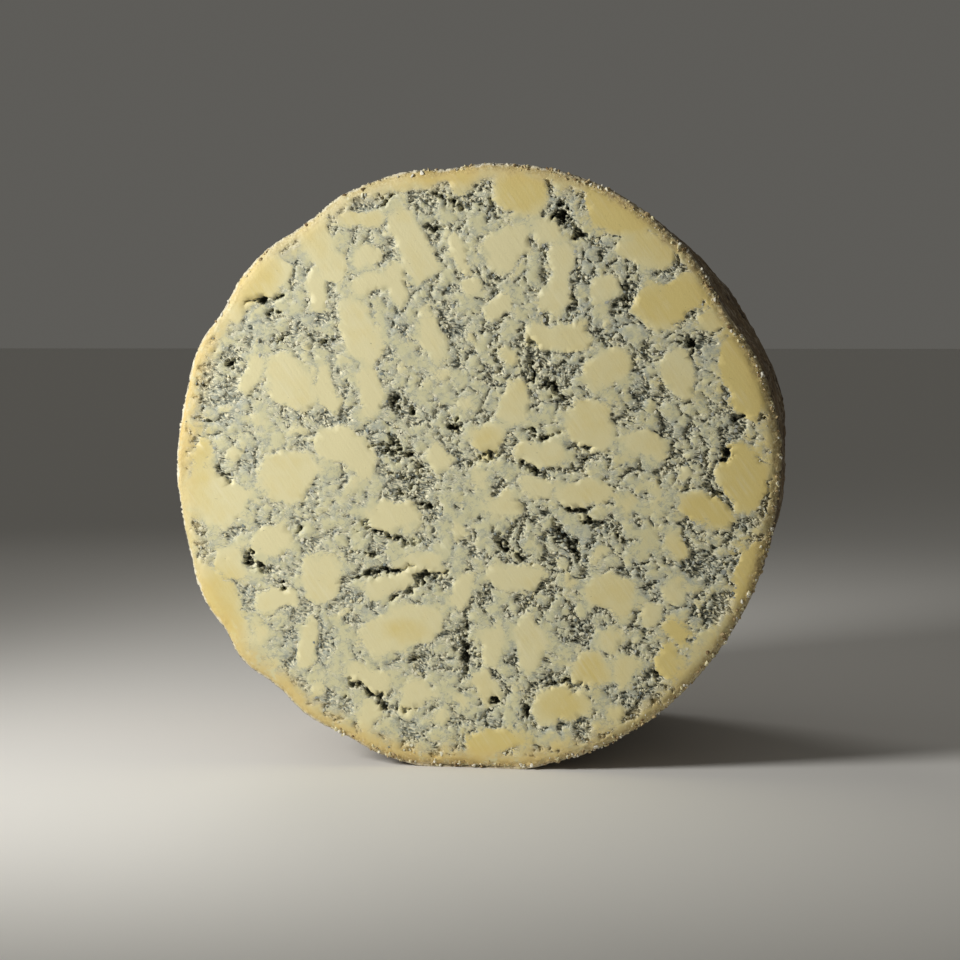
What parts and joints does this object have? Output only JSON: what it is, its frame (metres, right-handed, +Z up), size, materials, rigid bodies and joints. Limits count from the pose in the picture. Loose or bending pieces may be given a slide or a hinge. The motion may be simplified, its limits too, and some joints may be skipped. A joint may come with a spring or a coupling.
{
  "type": "blue cheese half drum",
  "caption": "Half drum of natural-rind blue cheese standing on its rim, its round cut face showing curd nuggets, blue-green veins, cracks and holes.",
  "frame": {"origin": "middle of the piece's box, at the bottom of the flat it rests on", "axes": "+Z up; the drum's axis lies along Y, with the round cut face towards -Y and the rind-covered end towards +Y; +X to the right of the cut face"},
  "size_m": [0.204, 0.1398, 0.2012],
  "materials": {
    "curd": "moist matte cut curd, cream with grey-green veins and dark holes",
    "rind": "dry rough natural rind, tan to brown with a pale powdery bloom"
  },
  "bodies": {
    "root": {"blue_cheese_half_drum": "curd"}
  },
  "joints": []
}
